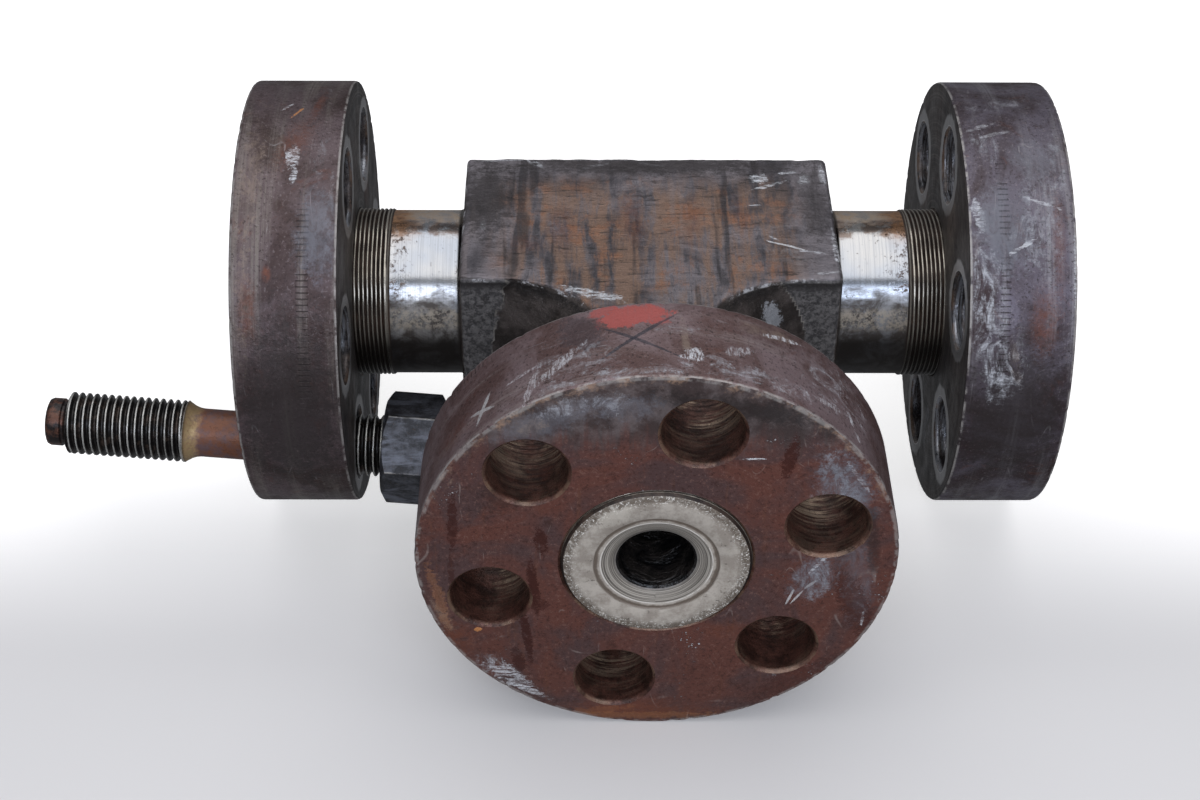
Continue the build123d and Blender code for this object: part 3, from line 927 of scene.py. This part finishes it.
def neckFinish(name, axis):
    m = Finish(name)
    x, y, z = m.split()
    if axis == "Y":
        x, y = y, x
    where = m.join(x, y, z)
    turn = m.calc("ARCTAN2", y, z)  # 0 on top, and below zero towards the front
    along = m.calc("ABSOLUTE", x)
    uneven = m.noise(1, 5, 0.7, m.stretch((60, 130, 130), where))
    tilt = m.calc("MULTIPLY_ADD", uneven, radians(36), m.calc("SUBTRACT", turn, radians(18)))
    brushed = m.noise(1, 4, 0.65, m.stretch((1500, 18, 18), where))
    specks = m.noise(430, 5, 0.75)
    blotch = m.noise(75, 5, 0.7, None, 0.6)
    m.colour = m.mix(m.ease(m.noise(26, 3, 0.5), 0.4, 0.62), necks["bright"], (0.47, 0.5, 0.56))
    m.lay((0.36, 0.37, 0.4), m.ease(brushed, 0.45, 0.62), 0.5)
    topTan = m.times(m.ease(tilt, radians(-6), radians(10)), m.ease(blotch, 0.36, 0.6, 0.45, 1.0))
    m.lay(necks["tan"], topTan, 0.8)
    brownBand = m.times(m.ease(tilt, radians(-15), radians(-8)), m.ease(tilt, radians(9), radians(0)),
                        m.ease(blotch, 0.4, 0.54))
    m.lay(necks["brown"], brownBand, 0.7)
    nearThread = m.ease(m.calc("MULTIPLY_ADD", uneven, 22 * mm, along), 117 * mm, 128 * mm)
    wedge = m.times(nearThread, m.ease(turn, radians(-24), radians(4)))
    m.lay((0.3, 0.15, 0.07), wedge, 0.85)
    spotted = m.times(m.ease(m.calc("MULTIPLY_ADD", nearThread, 0.09, specks), 0.61, 0.68),
                      m.ease(blotch, 0.4, 0.54, 0.3, 1.0))
    m.lay((0.1, 0.055, 0.035), spotted, 0.85)
    # painted shade: the lower front of the neck is darkened, standing in for the dark reflection below the
    # horizon; it is also made rougher and less metallic
    low = m.ease(tilt, radians(-49), radians(-62))
    m.lay(necks["lowerShade"], low, m.ease(blotch, 0.34, 0.58, 0.5, 0.97))
    lowTan = m.times(m.near(turn, radians(-72), radians(10), radians(4)), m.ease(specks, 0.42, 0.58))
    m.lay((0.42, 0.37, 0.31), lowTan, 0.8)
    # painted shade: the underside of the neck, from the front round to the back, is made near black
    underShade = m.ease(turn, radians(-78), radians(-92))
    m.lay((0.014, 0.011, 0.01), m.most(underShade, m.ease(turn, radians(95), radians(130))), 0.9)
    foot = m.ease(along, 89.5 * mm, 88.2 * mm)
    m.lay((0.03, 0.025, 0.022), foot, 0.85)
    rough = m.ease(m.calc("ADD", m.times(m.most(spotted, low, topTan), 0.5), m.times(blotch, 0.4)), 0.1,
                   0.9, 0.16, 0.55)
    metal = m.ease(m.most(m.times(low, 0.75), spotted, topTan), 0.0, 1.0, 1.0, 0.45)
    return m.paint(rough, metal, [(brushed, 0.006), (blotch, 0.05), (m.most(spotted, low), 0.04)])


def threadFinish(name, axis):
    m = Finish(name)
    _, radius, _, _, z = m.polar(axis)
    crest = m.ease(m.calc("MULTIPLY_ADD", m.noise(110, 4, 0.7), 0.5 * mm, radius), 39.72 * mm, 39.98 * mm)
    blotch = m.noise(120, 5, 0.7)
    m.colour = m.mix(m.ease(blotch, 0.4, 0.62), (0.016, 0.01, 0.008), (0.05, 0.032, 0.024))
    m.lay((0.5, 0.46, 0.4), crest)
    low = m.ease(z, 12 * mm, -4 * mm)  # painted shade: the underside is darkened
    m.lay((0.012, 0.009, 0.008), low, 0.85)
    return m.paint(m.ease(crest, 0, 1, 0.5, 0.24), m.ease(crest, 0, 1, 0.3, 0.85), [(blotch, 0.05)])


def seatFinish(name, axis):
    # the end ring is pale and pitted, the step is stained and the cone is finely turned
    m = Finish(name)
    _, radius, arc, side, z = m.polar(axis)
    flatWay = m.join(side, z)
    rings = m.noise(1, 3, 0.7, m.stretch((2600, 3, 1), m.join(radius, arc)))
    blotch, specks = m.noise(120, 6, 0.7), m.noise(520, 5, 0.75)
    uneven = m.calc("MULTIPLY_ADD", blotch, 2.2 * mm, m.calc("SUBTRACT", radius, 1.1 * mm))
    m.colour = m.mix(m.ease(blotch, 0.38, 0.62), (0.46, 0.42, 0.38), (0.3, 0.265, 0.235))
    step = m.near(uneven, 25.4 * mm, 1.3 * mm, 0.4 * mm)
    m.lay((0.1, 0.075, 0.058), step, 0.85)
    cone = m.ease(radius, 23.3 * mm, 22.9 * mm)
    m.lay(m.mix(m.ease(rings, 0.38, 0.6), (0.11, 0.098, 0.088), (0.4, 0.37, 0.335)), cone)
    lips = m.most(m.near(radius, 23.3 * mm, 0.35 * mm, 0.15 * mm),
                  m.near(radius, 17 * mm, 0.4 * mm, 0.15 * mm))
    m.lay((0.66, 0.63, 0.6), lips, m.ease(blotch, 0.36, 0.5))
    throat = m.ease(uneven, 18.3 * mm, 17.2 * mm)
    m.lay((0.1, 0.09, 0.085), throat, 0.75)
    outer = m.times(m.ease(uneven, 33.5 * mm, 36.6 * mm), m.ease(specks, 0.36, 0.54))
    m.lay((0.12, 0.095, 0.075), outer, 0.85)
    pitted = m.times(m.ease(specks, 0.6, 0.68), m.ease(m.noise(60, 3), 0.4, 0.6))
    m.lay((0.08, 0.065, 0.05), pitted, 0.85)
    glints = m.times(m.ease(uneven, 32 * mm, 36 * mm), m.ease(m.noise(1200, 3, 0.6), 0.42, 0.36))
    m.lay((0.85, 0.83, 0.8), glints, 0.8)
    smear = m.spot(flatWay, m.calc("SUBTRACT", specks, 0.5), (-18, 27, 9, 5, 30, 1.6))
    m.lay((0.6, 0.56, 0.5), smear, 0.35)
    rough = m.ease(m.calc("ADD", blotch, m.times(pitted, 0.4)), 0.3, 0.9, 0.32, 0.6)
    return m.paint(rough, m.ease(cone, 0, 1, 0.2, 0.3),
                   [(rings, 0.05), (blotch, 0.2), (specks, 0.12),
                    (m.times(m.most(pitted, outer), -1.0), 0.2)])


def boreFinish(name):
    m = Finish(name)
    grease = m.noise(1, 4, 0.7, m.stretch((60, 140, 140)), 0.8)
    m.colour = m.mix(m.ease(grease, 0.4, 0.65), (0.004, 0.004, 0.0045), (0.02, 0.017, 0.016))
    return m.paint(m.ease(grease, 0.3, 0.7, 0.06, 0.22), 0.0, [(grease, 2.5), (m.noise(240, 4, 0.7), 0.5)])


# the forging: black scale, brown streaks running front to back on top, and white scuffs on its edges; a
# painted highlight runs along its top edges with painted shade just below, and its sides are painted darker
# than its top

scale = {
    "dark": (0.058, 0.053, 0.062), "grey": (0.19, 0.172, 0.19), "brown": (0.25, 0.155, 0.11),
    "rusty": (0.29, 0.135, 0.076), "underShade": (0.03, 0.024, 0.022), "crust": (0.17, 0.162, 0.165),
    "topMarks": [
        ("chalk", 0.8, -54, 44, 7, 2, -40, 2.6), ("chalk", 0.6, -24, 42, 8, 1.4, 20, 2.8),
        ("chalk", 0.5, 2, 43, 6, 1.2, -10, 2.8), ("chalk", 0.85, 53, 31, 5, 4, 30, 2.6),
        ("chalk", 0.8, 50, 9, 4, 0.7, 0, 2.2), ("chalk", 0.7, 84, 34, 1.8, 9, 0, 2.6),
        ("chalk", 0.8, 85, -24, 1.4, 15, 0, 2.8), ("chalk", 0.6, 79, -44, 6, 1.2, 4, 2.6),
        ("smear", 0.15, -4, 20, 16, 14, 20, 2.6), ("rust", 0.4, -41, -8, 9, 24, 0, 2.6),
        ("rust", 0.5, -8, -2, 8, 30, 4, 2.6), ("rust", 0.4, 20, -4, 7, 26, -4, 2.6),
        ("rust", 0.35, 43, 0, 6, 24, 0, 2.6), ("rust", 0.3, -57, -22, 10, 10, 0, 2.6),
        ("chalk", 0.8, 67, 36, 6, 1.2, 10, 2.8), ("chalk", 0.7, 57, 25, 8, 1.4, 25, 2.8),
        ("chalk", 0.6, 75, 30, 3, 5, 0, 2.8), ("chalk", 0.85, 63, -23, 10, 0.9, -22, 1.8),
        ("chalk", 0.85, 75, -28, 7, 0.8, -10, 1.8), ("chalk", 0.6, 57, -17, 4, 0.6, -40, 2.2),
        ("chalk", 0.6, -70, 46, 13, 0.8, 2, 2.8), ("chalk", 0.5, -20, 46.5, 26, 0.7, 0, 2.8),
        # painted highlight: the first mark on the next line, though laid as chalk, paints glints along the
        # boss's blended edge at the front
        ("chalk", 0.95, -26, -60, 14, 3.6, -18, 2.4), ("chalk", 0.5, -77, -8, 1.4, 5, 0, 2.6),
        # the soft dark marks at the top's left end, its far edge and its right end darken the top towards
        # its edges
        ("smear", 0.25, 62, -30, 16, 8, -20, 2.8), ("sootAndShade", 0.8, -76, 14, 16, 44, 0, 2.0),
        ("line", 0.8, 63, -23, 10, 0.7, -22, 1.2), ("sootAndShade", 0.8, 0, 42, 90, 11, 0, 2.0),
        ("sootAndShade", 0.6, 78, 10, 10, 40, 0, 2.2), ("smear", 0.2, 30, -60, 30, 4, 10, 2.8),
    ],
}


def scaleFinish(name):
    m = Finish(name)
    x, y, z = m.split()
    flatWay = m.join(x, y)
    blotch, grit = m.noise(60, 7, 0.72), m.noise(420, 5, 0.75)
    streaks = m.noise(1, 5, 0.7, m.stretch((150, 18, 60)), 0.3)
    cloud = m.noise(22, 5, 0.65, None, 0.8)
    top = m.ease(z, 42.6 * mm, 44.2 * mm)
    bare = m.add("Attribute", attribute_name="bareSkin").outputs["Fac"]
    dashes = m.noise(1, 5, 0.75, m.stretch((55, 330, 330)), 0.5)
    # the body colours, for the sides, front and underside, are darker than the top's: partly the scale's own
    # tone, partly painted shade
    body = m.mix(m.ease(blotch, 0.4, 0.62), scale["underShade"], (0.085, 0.07, 0.066))
    crust = m.mix(m.ease(grit, 0.4, 0.6), (0.06, 0.057, 0.06), scale["crust"])
    body = m.mix(bare, crust, body)
    lip = m.near(bare, 0.35, 0.35, 0.1)
    body = m.mix(m.times(lip, m.ease(m.noise(150, 4, 0.7), 0.42, 0.56), 0.5), body, (0.4, 0.37, 0.34))
    m.colour = m.mix(m.ease(cloud, 0.36, 0.6), scale["dark"], scale["grey"])
    middle = m.times(m.ease(m.calc("ABSOLUTE", x), 80 * mm, 50 * mm), m.ease(y, 40 * mm, 10 * mm))
    m.lay(scale["brown"], m.ease(streaks, 0.4, 0.6), middle, 0.85)
    m.lay(scale["rusty"], m.ease(blotch, 0.5, 0.64), middle, m.ease(streaks, 0.36, 0.56), 0.8)
    m.lay((0.04, 0.035, 0.04), m.ease(streaks, 0.44, 0.34), 0.6)
    grooves = m.noise(1, 3, 0.6, m.stretch((95, 7, 40), None, (0, 0, 0.02)), 0.2)
    m.lay((0.03, 0.026, 0.03), m.ease(grooves, 0.58, 0.66), 0.75)
    m.lay((0.24, 0.2, 0.2), m.ease(grooves, 0.4, 0.34), 0.35)
    m.lay((0.03, 0.024, 0.022), m.ease(grit, 0.56, 0.68), 0.6)
    m.lay((0.022, 0.018, 0.018), m.ease(dashes, 0.56, 0.66), 0.75)
    m.lay((0.3, 0.28, 0.29), m.ease(dashes, 0.38, 0.28), 0.22)
    dry, _ = addMarks(m, flatWay, scale["topMarks"])
    # painted light and shade: the top takes the lighter colours, everything below it the darker body
    m.colour = m.mix(top, body, m.colour)
    # painted highlight: broken bright glints along the rounded top edge
    ridgeHighlight = m.times(m.near(z, 42.9 * mm, 1.1 * mm, 0.4 * mm), m.ease(m.noise(110, 6, 0.8), 0.5, 0.6))
    m.lay((0.6, 0.6, 0.64), ridgeHighlight, 0.8)
    # painted shade: a dark line just below the rounded top edge
    below = m.times(m.ease(z, 42.4 * mm, 41.4 * mm), m.ease(z, 36 * mm, 41 * mm), m.ease(grit, 0.36, 0.5))
    m.lay((0.012, 0.01, 0.01), below, 0.8)
    front = m.times(m.spot(m.join(x, z), m.calc("SUBTRACT", grit, 0.5), (55, 28, 4, 8, 25, 2.4)),
                    m.ease(y, -40 * mm, -47 * mm))
    m.lay(stains["smear"], front, 0.7)
    rough = m.ease(m.calc("ADD", grit, m.times(dry, 0.6)), 0.3, 1.0, 0.3, 0.75)
    return m.paint(rough, m.ease(dry, 0, 1, 0.35, 0.0),
                   [(blotch, 1.0), (dashes, 0.5), (grit, 0.4), (streaks, 0.3)])


# the stud and the nut

studLook = {
    "root": (0.012, 0.011, 0.011), "crest": (0.5, 0.49, 0.47), "rust": (0.17, 0.065, 0.035),
    "purple": (0.12, 0.075, 0.08), "gold": (0.42, 0.3, 0.16),
}


def studFinish(name):
    m = Finish(name)
    x, y, z = m.split(m.within(alongStud(studPoint(stud["left"]), Vector((0, 0, 1)))))
    radius = m.length(m.join(y, z))
    blotch, grit = m.noise(130, 6, 0.72), m.noise(700, 4, 0.7)
    rings = m.noise(1, 3, 0.6, m.stretch((1600, 30, 30), m.join(x, y, z)))
    fromEnd = m.calc("MINIMUM", x, m.calc("SUBTRACT", stud["length"] * mm, x))
    m.colour = m.mix(m.ease(blotch, 0.4, 0.62), studLook["rust"], studLook["purple"])
    m.lay((0.035, 0.016, 0.012), m.ease(grit, 0.55, 0.7), 0.6)
    flareEdge = m.calc("MULTIPLY_ADD", blotch, 12 * mm, fromEnd)
    golden = m.times(m.ease(flareEdge, 80 * mm, 75 * mm), m.ease(grit, 0.36, 0.56, 0.5, 1.0))
    m.lay(studLook["gold"], golden)
    threaded = m.ease(fromEnd, 67 * mm, 65 * mm)
    crest = m.times(m.ease(m.calc("MULTIPLY_ADD", blotch, 0.7 * mm, radius), 14.72 * mm, 15.02 * mm),
                    m.ease(m.noise(34, 3, 0.6), 0.34, 0.54, 0.4, 1.0))
    thread = m.mix(crest, m.mix(m.ease(blotch, 0.5, 0.66), studLook["root"], (0.05, 0.035, 0.028)),
                   studLook["crest"])
    m.lay(thread, threaded)
    pilot = m.ease(fromEnd, 9.4 * mm, 8.4 * mm)
    m.lay(m.mix(m.ease(blotch, 0.46, 0.6), (0.025, 0.02, 0.02), (0.11, 0.05, 0.035)), pilot)
    rough = m.ease(m.calc("ADD", m.times(threaded, -0.22), blotch), 0.2, 0.7, 0.22, 0.5)
    metal = m.most(m.times(crest, threaded, 0.55), m.times(golden, 0.6), 0.3)
    return m.paint(rough, metal, [(blotch, 0.4), (rings, 0.03), (grit, 0.14)])


def nutFinish(name):
    m = Finish(name)
    tilt = radians(nut["tilt"])
    x, y, z = m.split(m.within(alongStud(studPoint(nut["left"]), Vector((0, -cos(tilt), sin(tilt))))))
    blotch, grit = m.noise(120, 6, 0.72), m.noise(620, 4, 0.72)
    scuff = m.noise(1, 5, 0.7, m.stretch((40, 150, 150), m.join(x, y, z)), 0.5)
    m.colour = m.mix(m.ease(blotch, 0.42, 0.62), (0.032, 0.032, 0.037), (0.09, 0.093, 0.11))
    m.lay((0.17, 0.18, 0.22), m.ease(scuff, 0.5, 0.66), 0.7)
    m.lay((0.1, 0.06, 0.04), m.ease(grit, 0.6, 0.7), 0.5)
    # how far out a point is towards the nearest corner of the hexagon
    wedge = m.calc("WRAP", m.calc("ARCTAN2", y, z), radians(30), radians(-30))
    corner = m.times(m.length(m.join(y, z)), m.calc("ABSOLUTE", m.calc("SINE", wedge)))
    edge = m.times(m.ease(corner, 12.4 * mm, 13.1 * mm), m.ease(scuff, 0.4, 0.55))
    m.lay((0.4, 0.38, 0.36), edge, 0.8)
    rough = m.ease(grit, 0.3, 0.7, 0.3, 0.5)
    return m.paint(rough, 0.5, [(blotch, 0.5), (grit, 0.2)])


def zone(piece, finishes, chooser):
    # gives every face of a piece the finish that chooser picks from its middle and its normal
    piece.data.materials.clear()
    for finish in finishes:
        piece.data.materials.append(finish)
    count = len(piece.data.polygons)
    middle, normal = np.empty(count * 3), np.empty(count * 3)
    piece.data.polygons.foreach_get("center", middle)
    piece.data.polygons.foreach_get("normal", normal)
    chosen = chooser(middle.reshape(-1, 3), normal.reshape(-1, 3)).astype(np.int32)
    piece.data.polygons.foreach_set("material_index", chosen)


def flangeZones(axis):
    def choose(middle, normal):
        out = np.abs(middle[:, axis])
        radius = np.hypot(middle[:, 1 - axis], middle[:, 2])
        level = np.abs(normal[:, axis]) > 0.9
        chosen = np.full(len(middle), 3)
        chosen[radius > (flange["radius"] - 1.35) * mm] = 0
        chosen[level & (out > (flangeFar - 0.3) * mm)] = 1
        chosen[level & (out < (flangeNear + 0.3) * mm)] = 2
        return chosen
    return choose


def spigotZones(middle, normal):
    s = spigot
    isBranch = (middle[:, 1] < -60 * mm) & (np.abs(middle[:, 0]) < 60 * mm)
    out = np.where(isBranch, -middle[:, 1], np.abs(middle[:, 0]))
    radius = np.hypot(np.where(isBranch, middle[:, 0], middle[:, 1]), middle[:, 2])
    chosen = np.full(len(middle), 0)
    chosen[(out > s["threadStart"] * mm) & (radius > 37 * mm)] = 1
    chosen[(out > 181.65 * mm) & (radius < 38.7 * mm)] = 3
    chosen[(chosen > 0) & isBranch] += 1
    chosen[(chosen == 0) & isBranch] = 6
    chosen[(radius < 16.95 * mm) & (out < 182.3 * mm)] = 5
    return chosen


throatFinish = boreFinish("oilyBore")
zone(spigots,
     [neckFinish("turnedNeck", "X"), threadFinish("runThread", "X"), threadFinish("branchThread", "Y"),
      seatFinish("runSeat", "X"), seatFinish("branchSeat", "Y"), throatFinish,
      neckFinish("branchNeck", "Y")], spigotZones)
zone(blockPiece, [scaleFinish("forgingScale")], lambda middle, normal: np.zeros(len(middle)))
zone(studPiece, [studFinish("studSteel")], lambda middle, normal: np.zeros(len(middle)))
zone(nutPiece, [nutFinish("nutSteel")], lambda middle, normal: np.zeros(len(middle)))
for side, axis, outer, holeTurn in (("left", "X", "sideOuter", -12.2), ("right", "X", "sideOuter", 0.8),
                                    ("branch", "Y", "branchOuter", 13.4)):
    zone(flangePieces[side + "_flange"],
         [rimFinish(side + "Rim", axis, rims[side]), faceFinish(side + "Face", axis, faces[outer]),
          innerFaceFinish(side + "InnerFace", axis, radians(holeTurn)),
          holeFinish(side + "Holes", axis)], flangeZones("XY".index(axis)))
print("finishes done")

for piece, body, node, slotName in (
    (spigots, "tee", "tee_body", "forged_steel"), (blockPiece, "tee", "tee_body", "forged_steel"),
    (flangePieces["left_flange"], "left_flange", "left_flange", "flange_steel"),
    (flangePieces["right_flange"], "right_flange", "right_flange", "flange_steel"),
    (flangePieces["branch_flange"], "branch_flange", "branch_flange", "flange_steel"),
    (studPiece, "stud", "stud", "stud_steel"), (nutPiece, "nut", "stud_nut", "nut_steel"),
):
    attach(piece, body)
    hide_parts(node)

# the studio: a pale floor, soft lights and the camera

studio = {
    "eye": (-29.735, -789.447, 602.812), "lens": 61.87, "turn": 0.0097, "dip": 0.7046, "roll": 0.0077,
    "floor": cadBox[0][2],
}
letGo()
bpy.ops.mesh.primitive_plane_add(size=12, location=(0, 0, studio["floor"]))
floor = bpy.context.object
floor.name = "floor"
bpy.ops.object.transform_apply(location=True)
floor.visible_glossy = floor.visible_diffuse = False  # pale floor light would grey the dark undersides


def floorFinish():
    # pale, with a painted glow: its emission rises towards the back, standing in for a lit sweep
    m = Finish("paleFloor")
    _, y, _ = m.split()
    backGlow = m.ease(y, -150 * mm, 20 * mm, 0.02, 0.75)
    m.shader.inputs["Emission Color"].default_value = (1, 1, 1, 1)
    m.feed(m.shader.inputs["Emission Strength"], backGlow)
    m.colour = (0.68, 0.665, 0.67)
    return m.paint(0.95, 0.0)


floor.data.materials.append(floorFinish())

cameraData = bpy.data.cameras.new("camera")
cameraData.lens = studio["lens"]
cameraData.sensor_width = 36
cameraData.clip_start = 0.01
camera = bpy.data.objects.new("camera", cameraData)
bpy.context.collection.objects.link(camera)
aim = Matrix.Rotation(-studio["turn"], 4, "Z") @ Matrix.Rotation(pi / 2 - studio["dip"], 4, "X")
roll = Matrix.Rotation(studio["roll"], 4, "Z")
camera.matrix_world = Matrix.Translation(Vector(studio["eye"]) * mm) @ aim @ roll
bpy.context.scene.camera = camera


def softLight(name, place, target, width, height, power, colour=(1, 1, 1)):
    lamp = bpy.data.lights.new(name, "AREA")
    lamp.shape, lamp.size, lamp.size_y, lamp.energy, lamp.color = "RECTANGLE", width, height, power, colour
    made = bpy.data.objects.new(name, lamp)
    made.location = place
    made.rotation_euler = (Vector(target) - Vector(place)).to_track_quat("-Z", "Y").to_euler()
    bpy.context.collection.objects.link(made)
    return made


softLight("overheadBox", (0, 0.12, 1.6), (0, 0.12, 0), 2.6, 2.4, 24)
softLight("frontBox", (0, -1.75, 1.2), (0, 0, 0), 3.0, 0.8, 20, (0.78, 0.86, 1))
softLight("frontFill", (0.2, -2.1, 0.7), (0, 0, 0), 3.0, 1.8, 32).visible_glossy = False
world = bpy.data.worlds.new("world")
bpy.context.scene.world = world
world.use_nodes = True
world.node_tree.nodes["Background"].inputs["Color"].default_value = (0.92, 0.95, 1, 1)
world.node_tree.nodes["Background"].inputs["Strength"].default_value = 0.16
bpy.context.scene.view_settings.view_transform = "Standard"
